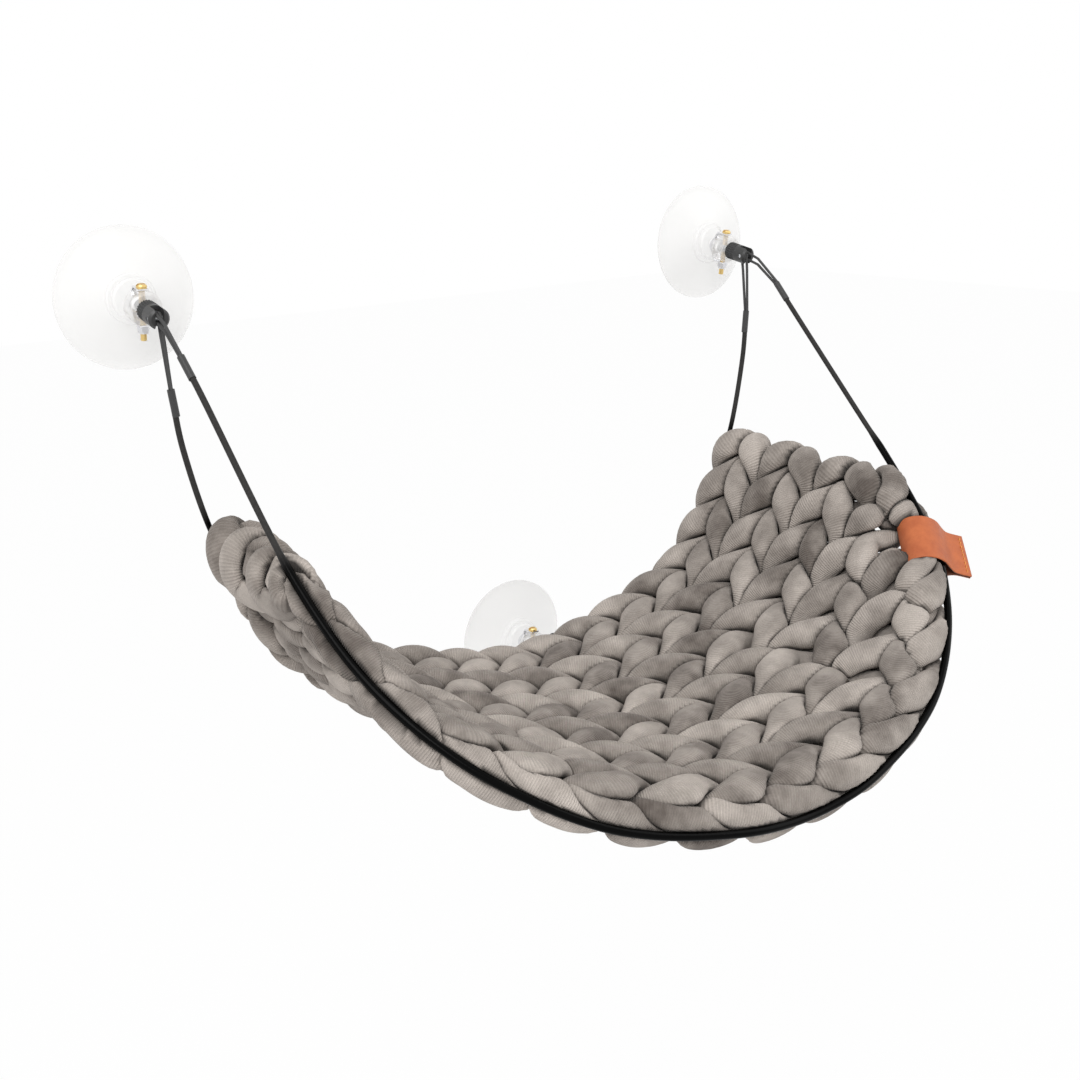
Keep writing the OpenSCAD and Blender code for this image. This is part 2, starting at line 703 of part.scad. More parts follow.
on_glass(-cup_spacing / 2, 0)  // cord_cap_left
        cord_cap(neck_lean, upper_cap);
on_glass(cup_spacing / 2, 0)  // cord_cap_right
        cord_cap(neck_lean, upper_cap);
on_glass(lower_cup_x, -lower_cup_drop)  // cord_cap_lower
        cord_cap(0, lower_cap);
on_glass(-cup_spacing / 2, 0)  // cord_pin_left
        cord_pin(neck_lean, upper_cap);
on_glass(cup_spacing / 2, 0)  // cord_pin_right
        cord_pin(neck_lean, upper_cap);
on_glass(lower_cup_x, -lower_cup_drop)  // cord_pin_lower
        cord_pin(0, lower_cap);
front_cord();
back_cord();
lower_cord_loop();
mirror([1, 0, 0]) end_loop(front_loop_path);  // front_loop_left
end_loop(front_loop_path);  // front_loop_right
mirror([1, 0, 0]) end_loop(back_loop_path);  // back_loop_left
end_loop(back_loop_path);  // back_loop_right
mirror([1, 0, 0]) shrink_tube(front_route);  // front_shrink_tube_left
shrink_tube(front_route);  // front_shrink_tube_right
mirror([1, 0, 0]) shrink_tube(back_route);  // back_shrink_tube_left
shrink_tube(back_route);  // back_shrink_tube_right
knitted_sling();
leather_label();
label_stitching();
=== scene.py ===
import json
import math

import bpy
import numpy as np
from mathutils import Matrix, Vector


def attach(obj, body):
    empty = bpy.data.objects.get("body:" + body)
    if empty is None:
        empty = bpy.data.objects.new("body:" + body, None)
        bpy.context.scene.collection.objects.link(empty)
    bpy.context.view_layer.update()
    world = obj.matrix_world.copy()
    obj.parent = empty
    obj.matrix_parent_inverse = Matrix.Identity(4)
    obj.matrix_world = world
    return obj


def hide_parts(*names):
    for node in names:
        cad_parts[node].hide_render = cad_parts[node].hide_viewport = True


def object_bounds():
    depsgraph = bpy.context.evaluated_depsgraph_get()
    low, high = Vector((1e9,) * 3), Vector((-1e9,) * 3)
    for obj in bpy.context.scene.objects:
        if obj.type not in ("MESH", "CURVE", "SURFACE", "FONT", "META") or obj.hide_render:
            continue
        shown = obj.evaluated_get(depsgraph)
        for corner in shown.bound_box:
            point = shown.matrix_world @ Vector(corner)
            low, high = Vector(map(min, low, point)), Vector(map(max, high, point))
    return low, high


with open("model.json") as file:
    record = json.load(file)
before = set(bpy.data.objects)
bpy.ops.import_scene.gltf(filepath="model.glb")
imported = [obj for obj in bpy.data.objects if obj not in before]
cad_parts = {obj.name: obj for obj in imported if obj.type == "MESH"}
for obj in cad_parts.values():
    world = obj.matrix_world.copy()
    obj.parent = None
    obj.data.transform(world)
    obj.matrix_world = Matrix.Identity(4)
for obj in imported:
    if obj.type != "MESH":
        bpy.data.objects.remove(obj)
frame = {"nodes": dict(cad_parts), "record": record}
cad_low, cad_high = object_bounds()
rng = np.random.default_rng(7)

# The camera, as the photograph was taken: metres, degrees, and millimetres for lens and sensor

CAMERA_PLACE = (-0.5628, -0.9078, 0.0962)
CAMERA_AZIMUTH = -35.09
CAMERA_ELEVATION = 16.58
CAMERA_ROLL = -1.98
CAMERA_LENS = 45.63
CAMERA_SENSOR = 36


def unit(vectors):
    vectors = np.asarray(vectors, float)
    return vectors / np.linalg.norm(vectors, axis=-1, keepdims=True)


def turned(first, second, angle):
    """Two directions at right angles, turned in their plane, the first towards the second."""
    return (math.cos(angle) * first + math.sin(angle) * second,
            math.cos(angle) * second - math.sin(angle) * first)


def add_to_scene(name, data):
    made = bpy.data.objects.new(name, data)
    bpy.context.scene.collection.objects.link(made)
    return made


def aim(thing, place, back, roll=0.0):
    """Puts a camera or light at a place, with its back in the direction given."""
    right = unit(np.cross([0, 0, 1], back))
    axes = np.stack([*turned(right, np.cross(back, right), roll), back], 1)
    rows = [[*row, shift] for row, shift in zip(axes, place)]
    thing.matrix_world = Matrix(rows + [[0, 0, 0, 1]])


def add_camera():
    azimuth = math.radians(CAMERA_AZIMUTH)
    elevation = math.radians(CAMERA_ELEVATION)
    level = math.cos(elevation)
    back = np.array([math.sin(azimuth) * level, -math.cos(azimuth) * level, math.sin(elevation)])
    data = bpy.data.cameras.new("camera")
    data.lens = CAMERA_LENS
    data.sensor_width = CAMERA_SENSOR
    camera = add_to_scene("camera", data)
    aim(camera, CAMERA_PLACE, back, math.radians(CAMERA_ROLL))
    bpy.context.scene.camera = camera


add_camera()

# Lines in space

# Routes of the cords, from the middle of the perch to the end of the coating on the right
FRONT_ROUTE = [
    (0, -0.386, -0.308), (0.042, -0.386, -0.304), (0.082, -0.379, -0.297),
    (0.117, -0.370, -0.288), (0.147, -0.359, -0.276), (0.177, -0.342, -0.258),
    (0.204, -0.320, -0.237), (0.226, -0.293, -0.212), (0.240, -0.260, -0.185),
    (0.248, -0.222, -0.152), (0.251, -0.186, -0.119), (0.254, -0.118, -0.053),
    (0.256, -0.093, -0.029)]
BACK_ROUTE = [
    (0, -0.061, -0.302), (0.037, -0.061, -0.298), (0.097, -0.061, -0.284),
    (0.145, -0.061, -0.269), (0.173, -0.061, -0.252), (0.197, -0.061, -0.225),
    (0.218, -0.061, -0.191), (0.236, -0.061, -0.152), (0.249, -0.061, -0.095),
    (0.253, -0.061, -0.054)]


def mirrored(half):
    """The whole route, from the left end to the right one."""
    half = np.array(half)
    return np.vstack([half[:0:-1] * [-1, 1, 1], half])


def smooth_through(points, steps=24):
    """Dense points on a smooth curve that passes through the given ones."""
    points = np.array(points, float)
    points = np.vstack([2 * points[0] - points[1], points, 2 * points[-1] - points[-2]])
    t = np.linspace(0, 1, steps, endpoint=False)[:, None]
    made = []
    for a, b, c, d in zip(points, points[1:], points[2:], points[3:]):
        made.append(0.5 * (2 * b + (c - a) * t + (2 * a - 5 * b + 4 * c - d) * t ** 2
                           + (3 * b - a - 3 * c + d) * t ** 3))
    made.append(points[-2:-1])
    return np.vstack(made)


def lengths_along(points):
    steps = np.linalg.norm(np.diff(points, axis=0), axis=1)
    return np.concatenate([[0], np.cumsum(steps)])


def at_lengths(points, lengths, wanted):
    """The points' columns at the wanted lengths, given the length at each point."""
    return np.stack([np.interp(wanted, lengths, column) for column in points.T], -1)


def evenly(points, step):
    """The same line with its points a step apart, or nearly."""
    lengths = lengths_along(points)
    count = max(2, round(lengths[-1] / step) + 1)
    return at_lengths(points, lengths, np.linspace(0, lengths[-1], count))


class Line:
    """A line whose places are given by their length from its middle."""

    def __init__(self, points):
        self.points = points
        self.lengths = lengths_along(points)
        self.lengths -= self.lengths[-1] / 2

    def at(self, wanted):
        return at_lengths(self.points, self.lengths, wanted)


FRONT = Line(smooth_through(mirrored(FRONT_ROUTE)))
BACK = Line(smooth_through(mirrored(BACK_ROUTE)))

# Meshes

# The direction that a round line's first ring starts from
FIRST_SIDE = (0, 1, 0.2)


def tangents_of(points):
    return unit(np.gradient(points, axis=0))


def directions_round(tangents, sides, first):
    """Directions round a line at each of its points, carried along it without twist."""
    side = np.asarray(first, float)
    carried = np.empty_like(tangents)
    for i, tangent in enumerate(tangents):
        side = unit(side - tangent * (side @ tangent))
        carried[i] = side
    angle = np.linspace(0, 2 * math.pi, sides, endpoint=False)[:, None]
    over = np.cross(tangents, carried)
    return carried[:, None] * np.cos(angle) + over[:, None] * np.sin(angle)


def round_rings(points, radius, sides):
    return points[:, None] + directions_round(tangents_of(points), sides, FIRST_SIDE) * radius


def faces_over(index):
    """Faces over rings of points, closed at both ends, from the points' numbers."""
    a, b = index[:-1], index[1:]
    quads = np.stack([a, np.roll(a, -1, 1), np.roll(b, -1, 1), b], -1).reshape(-1, 4)
    return quads.tolist() + [index[0, ::-1].tolist(), index[-1].tolist()]


def new_piece(name, points, faces, smooth=True):
    mesh = bpy.data.meshes.new(name)
    mesh.from_pydata(np.asarray(points).tolist(), [], faces)
    if smooth:
        mesh.shade_smooth()
    return add_to_scene(name, mesh)


def skin(name, rings):
    index = np.arange(rings.shape[0] * rings.shape[1]).reshape(rings.shape[:2])
    return new_piece(name, rings.reshape(-1, 3), faces_over(index))


def give_points(piece, name, values):
    """Stores a value at each point, which a material can read by name."""
    attribute = piece.data.attributes.new(name, "FLOAT", "POINT")
    attribute.data.foreach_set("value", np.asarray(values, np.float32))


# Materials


def linear(*srgb):
    """A colour given as 0 to 255 in sRGB, as the shader wants it."""
    c = np.array(srgb) / 255
    return (*np.where(c <= 0.04045, c / 12.92, ((c + 0.055) / 1.055) ** 2.4).tolist(), 1)


class Shader:
    """A node material with a Principled shader, and short ways to feed it."""

    def __init__(self, name, **sockets):
        self.material = bpy.data.materials.new(name)
        self.material.use_nodes = True
        self.tree = self.material.node_tree
        self.surface = self.tree.nodes["Principled BSDF"]
        for socket, value in sockets.items():
            self.surface.inputs[socket.replace("_", " ")].default_value = value

    def give(self, socket, value):
        if isinstance(value, bpy.types.NodeSocket):
            self.tree.links.new(value, socket)
        else:
            socket.default_value = value

    def node(self, kind, inputs, **settings):
        made = self.tree.nodes.new(kind)
        for key, value in settings.items():
            setattr(made, key, value)
        for key, value in inputs.items():
            self.give(made.inputs[key], value)
        return made

    def place(self):
        return self.node("ShaderNodeTexCoord", {}).outputs["Object"]

    def noise(self, scale, detail, roughness):
        return self.node("ShaderNodeTexNoise", {
            "Vector": self.place(), "Scale": scale, "Detail": detail,
            "Roughness": roughness}).outputs["Fac"]

    def attribute(self, name):
        return self.node("ShaderNodeAttribute", {}, attribute_name=name).outputs["Fac"]

    def math(self, operation, a, b=0.0, c=0.0):
        return self.node("ShaderNodeMath", {0: a, 1: b, 2: c}, operation=operation).outputs[0]

    def remap(self, value, low, high, to_low=0.0, to_high=1.0):
        return self.node("ShaderNodeMapRange", {
            "Value": value, "From Min": low, "From Max": high,
            "To Min": to_low, "To Max": to_high}).outputs["Result"]

    def mix(self, factor, a, b):
        made = self.node("ShaderNodeMix", {}, data_type="RGBA")
        for identifier, value in (("Factor_Float", factor), ("A_Color", a), ("B_Color", b)):
            socket = next(s for s in made.inputs if s.identifier == identifier)
            self.give(socket, value)
        return next(s for s in made.outputs if s.identifier == "Result_Color")

    def bump(self, height, distance, strength, after=None):
        inputs = {"Height": height, "Distance": distance, "Strength": strength}
        if after:
            inputs["Normal"] = after
        return self.node("ShaderNodeBump", inputs).outputs["Normal"]

    def feed(self, **sockets):
        for socket, value in sockets.items():
            self.give(self.surface.inputs[socket.replace("_", " ")], value)
        return self.material


def knit_velvet():
    """Ribbed velvet: a random tone for each leg of yarn and in larger areas, painted as the nap's
    light and shade, ribs across, and painted shade in the creases.
    """
    rib_pitch = 0.0015
    # The legs' tones run from shaded to lit: painted light and shade of the nap
    dark, pale = linear(102, 94, 88), linear(212, 202, 193)
    shadow, painted_crease_shade = linear(84, 77, 73), linear(38, 35, 33)
    shader = Shader("knit_velvet", Roughness=0.9, Sheen_Weight=0.35, Sheen_Roughness=0.5,
                    Sheen_Tint=linear(215, 208, 202), Specular_IOR_Level=0.15)
    # Painted light and shade of the nap, in larger areas and for each leg, with a finer random
    # mottle
    nap_shade_areas = shader.remap(shader.noise(32, 2, 0.55), 0.38, 0.62)
    mottle = shader.remap(shader.noise(160, 3, 0.6), 0.3, 0.7)
    tone = shader.math("MULTIPLY", shader.attribute("tone"), 0.6)
    tone = shader.math("MULTIPLY_ADD", nap_shade_areas, 0.42, tone)
    tone = shader.math("MULTIPLY_ADD", mottle, 0.16, shader.math("SUBTRACT", tone, 0.08))
    ribs = shader.math("MULTIPLY", shader.attribute("along"), 2 * math.pi / rib_pitch)
    ribs = shader.math("SINE", ribs)
    grain = shader.noise(1100, 3, 0.65)
    colour = shader.mix(tone, dark, pale)
    colour = shader.mix(shader.remap(ribs, -1, 1, 0.16, 0), colour, shadow)
    colour = shader.mix(shader.remap(grain, 0.35, 0.7, 0.22, 0), colour, shadow)
    # Painted shade: the creases where strands squeeze each other are darkened
    colour = shader.mix(shader.math("MULTIPLY", shader.attribute("crease_shade"), 0.95), colour, painted_crease_shade)
    height = shader.math("MULTIPLY_ADD", grain, 0.8, shader.math("MULTIPLY", ribs, 0.5))
    wrinkles = shader.bump(shader.noise(70, 4, 0.55), 0.0016, 0.5)
    return shader.feed(Base_Color=colour, Normal=shader.bump(height, 0.0005, 0.9, wrinkles))


def cord_coating():
    """Dull and grey where the cord hangs free, black and glossy where it lies on the knit."""
    shader = Shader("cord_coating", Specular_IOR_Level=0.06)
    free = shader.attribute("free")
    grain = shader.noise(500, 3, 0.6)
    colour = shader.mix(free, linear(2, 2, 2), linear(60, 59, 58))
    colour = shader.mix(shader.remap(grain, 0.3, 0.7, 0, 0.35), colour, linear(6, 6, 6))
    rough = shader.remap(free, 0, 1, 0.08, 0.38)
    rough = shader.math("MULTIPLY_ADD", grain, 0.06, rough)
    return shader.feed(Base_Color=colour, Roughness=rough, Normal=shader.bump(grain, 0.0002, 0.4))


def leather_finish():
    """Cloudy tan leather with a pebbled grain, and a darker flesh side."""
    shader = Shader("leather_tan", Specular_IOR_Level=0.35)
    pebbles = shader.node("ShaderNodeTexVoronoi", {"Vector": shader.place(), "Scale": 900},
                          feature="DISTANCE_TO_EDGE").outputs["Distance"]
    cloudy = shader.remap(shader.noise(90, 4, 0.6), 0.3, 0.7)
    colour = shader.mix(cloudy, linear(176, 92, 54), linear(199, 112, 68))
    colour = shader.mix(shader.attribute("flesh"), colour, linear(92, 52, 34))
    rough = shader.remap(cloudy, 0, 1, 0.5, 0.62)
    height = shader.math("MULTIPLY_ADD", shader.noise(500, 3, 0.5), 0.5,
                         shader.math("MINIMUM", pebbles, 0.2))
    return shader.feed(Base_Color=colour, Roughness=rough, Normal=shader.bump(height, 0.0003, 0.5))


def finish(name, colour, rough, metal=0.0, grain=400, depth=0.0001, shade=0.2, **more):
    """A moulded, plated or turned finish: fine grain in its colour, gloss and height, and broad
    darker blotches in its colour, which on chrome are painted reflections.
    """
    shader = Shader(name, Metallic=metal, **more)
    fine = shader.noise(grain, 4, 0.6)
    broad = shader.noise(grain / 8, 2, 0.5)
    darker = tuple(x * (1 - shade) for x in colour[:3]) + (1,)
    # Broad darker blotches: random tone, and on chrome, where shade is high, painted reflections
    tint = shader.mix(shader.remap(broad, 0.35, 0.65), colour, darker)
    roughness = shader.math("MULTIPLY_ADD", fine, rough * 0.6, rough * 0.7)
    return shader.feed(Base_Color=tint, Roughness=roughness, Normal=shader.bump(fine, depth, 0.5))


# By the record's material slots
MATERIALS = {
    "clear_pvc": finish("clear_pvc", linear(248, 244, 241), 0.06, grain=120, depth=0.0002,
                        shade=0.01, Transmission_Weight=1.0, IOR=1.47),
    # The broad darker blotches on chrome, at shade 0.85, are painted reflections
    "chromed_strip": finish("chrome", linear(196, 196, 208), 0.1, metal=1.0, grain=1300,
                            shade=0.85),
    "brass": finish("brass", linear(182, 124, 54), 0.26, metal=1.0, grain=700, shade=0.3),
    "zinc_nut": finish("zinc", linear(196, 197, 202), 0.22, metal=1.0, grain=700),
    "steel": finish("steel", linear(150, 151, 155), 0.3, metal=1.0, grain=600),
    "black_rubber": finish("black_rubber", linear(44, 44, 46), 0.5, grain=900, depth=0.0002),
    "black_plastic": finish("black_plastic", linear(14, 14, 15), 0.16, grain=300),
    "bare_strand": finish("bare_strand", linear(46, 45, 45), 0.36, grain=1500, depth=0.0003),
    "shrink_tube": finish("shrink_tube", linear(22, 22, 22), 0.34, grain=500),
    "thread": finish("thread", linear(232, 160, 84), 0.7, grain=2500, depth=0.0003),
    "cord_coating": cord_coating(),
    "knit": knit_velvet(),
    "leather": leather_finish(),
}


def paint(piece, slot):
    piece.data.materials.clear()
    piece.data.materials.append(MATERIALS[slot])


def dress(piece, slot, node):
    """Finishes a piece of the sling that stands for a node."""
    paint(piece, slot)
    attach(piece, "sling")
    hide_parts(node)


# Cords

CORD_D = 0.004
# The front cord's radius where it lies on the knit, and the length over which coatings change
COVERED_R = 0.0027
COVER_TAPER = 0.014
CORD_SIDES = 16
CORD_STEP = 0.003
# Lengths from each cord's middle to where it leaves the knit, left and right
BARE_FRONT = (-0.398, 0.392)
BARE_BACK = (-0.315, 0.308)


def add_cord(node, line, bare, covered):
    points = evenly(line.points, CORD_STEP)
    lengths = Line(points).lengths
    outside = np.maximum(bare[0] - lengths, lengths - bare[1])
    free = np.clip(0.5 + outside / COVER_TAPER, 0, 1)
    wider = (free + (1 - free) * covered * 2 / CORD_D)[:, None, None]
    rings = round_rings(points, CORD_D / 2, CORD_SIDES)
    piece = skin(node + "_coated", points[:, None] + (rings - points[:, None]) * wider)
    give_points(piece, "free", np.repeat(free, CORD_SIDES))
    dress(piece, "cord_coating", node)


add_cord("front_cord", FRONT, BARE_FRONT, COVERED_R)
add_cord("back_cord", BACK, BARE_BACK, CORD_D / 2)

# The bed of the knit

# Places on it are x, in metres from the back cord to the front one, and rows, counted from its
# left end to its right one. In a pair of lists, the second one has a value for each row.
ROWS = 16
# Lengths from each cord's middle to the bed's left and right ends
FRONT_REACH = (-0.390, 0.363)
BACK_REACH = (-0.311, 0.304)
# Half the distance between the two layers of yarn, and the radius that the edges curl round
LAYER = 0.0095
CURL = 0.008
OUTER = CURL + LAYER
# From the cords to the middle of the curled edges
BACK_EDGE = 0.024
FRONT_EDGE = 0.0268
# Rows from each end of the bed to where it starts to curl, and how many fewer at the left front
END_CURL = 0.7
LEFT_CURL_LESS = 0.45
# How deep it sags between its cords
SAG = 0.006
# The front edge's height over its cord, and its thickness there as a share
FRONT_LIFT = ((0, 1, 3, 5, 7, 16), (0.004, 0.009, 0.007, 0.012, 0.011, 0.010))
FRONT_THIN = ((0, 1, 3, 7, 16), (0.62, 0.58, 0.63, 0.78, 0.85))
# The left end's thickness, as a share
LEFT_THIN = ((0, 2.5), (0.84, 1))
# How far the back edges of its ends are lifted, left and right
END_LIFT = (0.013, 0.011)
# It hangs steeply at its ends, with no sag: shares of its length, from its middle to where it
# starts to steepen and to where it is steep
STEEP_SHARES = (0.108, 0.468)
# A small step, in rows, that finds the direction along the bed
ROW_STEP = 0.02


def within(reach, share):
    return reach[0] + (reach[1] - reach[0]) * share


def bed_lines(share):
    """Places on the back and front cords at a share of the bed's length."""
    return BACK.at(within(BACK_REACH, share)), FRONT.at(within(FRONT_REACH, share))


def bed_width(row):
    back, front = bed_lines(np.asarray(row) / ROWS)
    return np.linalg.norm(front - back, axis=-1)


def front_edge(row):
    """From the front cord to the middle of the curled edge."""
    return FRONT_EDGE * np.interp(row, *FRONT_THIN)


def thinned(x, row):
    """The bed's thickness as a share of that of its back part."""
    share = (x - BACK_EDGE) / (bed_width(row) - BACK_EDGE - front_edge(row))
    share = 1 - np.clip(share, 0, 1) ** 2 * (1 - np.interp(row, *FRONT_THIN))
    return share * np.interp(row, *LEFT_THIN)


def end_curl(x):
    """Rows from the bed's left end to where it starts to curl."""
    return END_CURL - LEFT_CURL_LESS * np.clip(x / bed_width(END_CURL), 0, 1) ** 3


def bed_lift(middle, row):
    """Height over the straight line between the cords, at a share of the way to the front."""
    share = row / ROWS
    steep = np.interp(np.abs(share - 0.5), STEEP_SHARES, (0, 1))
    steep = steep * steep * (3 - 2 * steep)
    end_lift = np.where(share < 0.5, *END_LIFT) * steep
    return (np.interp(row, *FRONT_LIFT) * middle + end_lift * (1 - middle)
            - SAG * (1 - steep) * np.sin(math.pi * middle))


def bed(x, row):
    """The bed's middle surface, which curls under past its edges and ends.
    Returns places, directions along the bed, and normals."""
    x, row = np.broadcast_arrays(np.asarray(x, float), np.asarray(row, float))
    flat_row = np.clip(row, end_curl(x), ROWS - END_CURL)
    width = bed_width(flat_row)
    edge = front_edge(flat_row)
    flat_x = np.clip(x, BACK_EDGE, width - edge)
    share = (flat_x / width)[..., None]
    back, front = bed_lines(flat_row / ROWS)
    ahead, behind = (bed_lines((flat_row + step) / ROWS) for step in (ROW_STEP, -ROW_STEP))
    along = (ahead[0] - behind[0]) * (1 - share) + (ahead[1] - behind[1]) * share
    along = along / (2 * ROW_STEP)
    row_pitch = np.linalg.norm(along, axis=-1)
    across = unit(front - back)
    up = unit(np.cross(across, along))
    lift = bed_lift((flat_x - BACK_EDGE) / (width - BACK_EDGE - edge), flat_row)
    place = back + (front - back) * share + up * lift[..., None]
    curl = CURL * thinned(flat_x, flat_row)[..., None]
    turn = ((x - flat_x) / OUTER)[..., None]
    place = place + across * curl * np.sin(turn) - up * curl * (1 - np.cos(turn))
    normal = up * np.cos(turn) + across * np.sin(turn)
    along = unit(along - normal * np.sum(along * normal, -1, keepdims=True))
    turn = ((row - flat_row) * row_pitch / OUTER)[..., None]
    place = place + along * curl * np.sin(turn) - normal * curl * (1 - np.cos(turn))
    ahead = along * np.cos(turn) - normal * np.sin(turn)
    return place, ahead, normal * np.cos(turn) + along * np.sin(turn)


# The leather label, folded round the front edge

# Length from the front cord's middle to the label's, and the loop's middle from that cord
LABEL_AT = 0.290
LABEL_INWARD = 0.0075
LABEL_UP = 0.0024
LABEL_W = 0.039
LEATHER = 0.0016
# Degrees that the free end hangs below the bed, and turns along the edge
LABEL_DROOP = 60
LABEL_SKEW = 9
# Its section from the end of its upper layer to the end of its lower one: out and up
LABEL_SECTION = [
    (0.0363, 0.0009), (0.0292, 0.0009), (0.0237, 0.0013), (0.0193, 0.0032), (0.0149, 0.0066),
    (0.0094, 0.0103), (0.0022, 0.0123), (-0.0061, 0.0116), (-0.0127, 0.0081), (-0.0156, 0.0016),
    (-0.0145, -0.0053), (-0.0088, -0.0104), (-0.0006, -0.0121), (0.0077, -0.0104),
    (0.0143, -0.0061), (0.0198, -0.0026), (0.0248, -0.0010), (0.0363, -0.0009)]
SECTION_STEP = 0.0011
# The section's round part ends this far out
LOOP_END = 0.024
# Its cut edges are rounded: distances in from the edge, and thickness there as a share
RIM_INSET = np.array([0, 0.00025, 0.0007])
RIM_SHARES = np.array([0.35, 0.75, 1])
RIM_W = 0.0025
LABEL_COLUMNS = 18
LOOP_COLUMNS = 28
# The leather's gentle waves across its width: height as a share, radians a metre, and a start
WAVE_SHARE = 0.03
WAVE_TURN = 160
WAVE_START = 1
# The seam near the free end: its place, stitches, and their thread
SEAM_OUT = 0.0331
STITCHES = 9
STITCH_PITCH = 0.0038
STITCH_HALF = 0.0013
STITCH_LEAN = 0.0003
STITCH_SINK = 0.0014
STITCH_ARCH = 0.0008
STITCH_POINTS = 9
THREAD_D = 0.0008
THREAD_SIDES = 8


def label_frame():
    """The middle of the label's loop, and directions out along its free end, off its face, and
    along the edge."""
    half = LABEL_W / 2
    along = unit(FRONT.at(LABEL_AT + half) - FRONT.at(LABEL_AT - half))
    back, front = bed_lines((LABEL_AT - FRONT_REACH[0]) / (FRONT_REACH[1] - FRONT_REACH[0]))
    across = unit(front - back)
    across = unit(across - along * (across @ along))
    up = np.cross(across, along)
    middle = FRONT.at(LABEL_AT) - across * LABEL_INWARD + up * LABEL_UP
    out, _ = turned(across, up, -math.radians(LABEL_DROOP))
    out, along = turned(out, along, -math.radians(LABEL_SKEW))
    return middle, np.stack([out, np.cross(along, out), along])


def add_label(middle, axes, section):
    ahead = tangents_of(section)
    off = np.stack([-ahead[:, 1], ahead[:, 0]], 1)
    half = LABEL_W / 2
    inner = np.linspace(RIM_W - half, half - RIM_W, LABEL_COLUMNS)
    places = np.concatenate([RIM_INSET - half, inner, half - RIM_INSET[::-1]])
    shares = np.concatenate([RIM_SHARES, np.ones(LABEL_COLUMNS), RIM_SHARES[::-1]])
    rings = []
    for z, share in zip(places, shares):
        thick = off * LEATHER / 2 * share
        waved = section * [1, 1 + WAVE_SHARE * math.sin(WAVE_TURN * z + WAVE_START)]
        ring = np.vstack([waved - thick, (waved + thick)[::-1]])
        rings.append(middle + np.column_stack([ring, np.full(len(ring), z)]) @ axes)
    piece = skin("leather_label_folded", np.array(rings))
    inside = np.concatenate([np.zeros(len(section)), np.ones(len(section))])
    give_points(piece, "flesh", np.tile(inside, len(rings)))
    dress(piece, "leather", "leather_label")


def add_label_seam(middle, axes):
    """Short stitches through both layers, near the free end."""
    t = np.linspace(0, 1, STITCH_POINTS)
    index = np.arange(STITCH_POINTS * THREAD_SIDES).reshape(STITCH_POINTS, THREAD_SIDES)
    points, faces = [], []
    for side in (-1, 1):
        for i in range(STITCHES):
            z = (i + 0.5 - STITCHES / 2) * STITCH_PITCH
            lean = STITCH_LEAN * rng.uniform(-1, 1)
            path = np.stack([SEAM_OUT + lean * (2 * t - 1),
                             side * (STITCH_SINK + STITCH_ARCH * np.sin(math.pi * t)),
                             z + STITCH_HALF * (2 * t - 1)], 1)
            rings = round_rings(middle + path @ axes, THREAD_D / 2, THREAD_SIDES)
            faces += faces_over(index + len(points) * index.size)
            points.append(rings.reshape(-1, 3))
    piece = new_piece("label_seam", np.vstack(points), faces)
    dress(piece, "thread", "label_stitching")


label_middle, label_axes = label_frame()
label_section = evenly(smooth_through(LABEL_SECTION, steps=8), SECTION_STEP)
add_label(label_middle, label_axes, label_section)
add_label_seam(label_middle, label_axes)

# The yarn's way through the bed, in x, rows and depths below the bed's middle surface

# Distance between stitches across the bed
WALE = 0.051
# How far the outermost stitches' middles lie past the middle of the curled edges
PAST_BACK = 0.015
PAST_FRONT = ((1, 7), (0.002, 0.011))
# How far the outermost legs reach round the front edge, and how much longer they are
LAST_REACH = ((7, 11), (0.047, 0.041))
LAST_LONGER = ((6, 11), (0.6, 1.2))
# A loop's reach up and down from its row, in rows, and the first row's downward one as a share
REACH = 0.8
FIRST_LOW = 0.62
# How far a loop's legs swing out, and their farthest place from its middle, as shares of its gap
SWING = 0.30
FARTHEST = 1 / 8 + SWING
LOOP_POINTS = 72
# How the yarn's turns from row to row are drawn out of their straight way
TURN_POINTS = 18
FRONT_TURN = (0, 0, -0.6 * LAYER)
BACK_TURN = (-0.012, 0, -1.2 * LAYER)
# The cast-on rolls over the left end: out from and above the middle of the curled end. The last
# points of each roll lead on to the next one.
ROLL = [(-0.010, 0.006), (-0.004, 0.014), (0.007, 0.016), (0.016, 0.008), (0.017, -0.004),
        (0.012, -0.014), (0.002, -0.019), (-0.009, -0.017), (-0.014, -0.009), (-0.010, -0.002)]
ROLL_STEPS = 12
ONWARD = 2
# The rolls' yarn counts as this many legs of loops, each of which has a tone of painted nap shade
CAST_LEGS = 8


def wales(row):
    """Places across the bed of a row's stitches."""
    first = BACK_EDGE - PAST_BACK
    last = bed_width(row + 0.5) - front_edge(row + 0.5) + np.interp(row, *PAST_FRONT)
    count = 1 + round(float(last - first) / WALE)
    i = np.arange(count)
    spare = last - first - WALE * (count - 1)
    return first + WALE * i + spare * (i / (count - 1)) ** 2


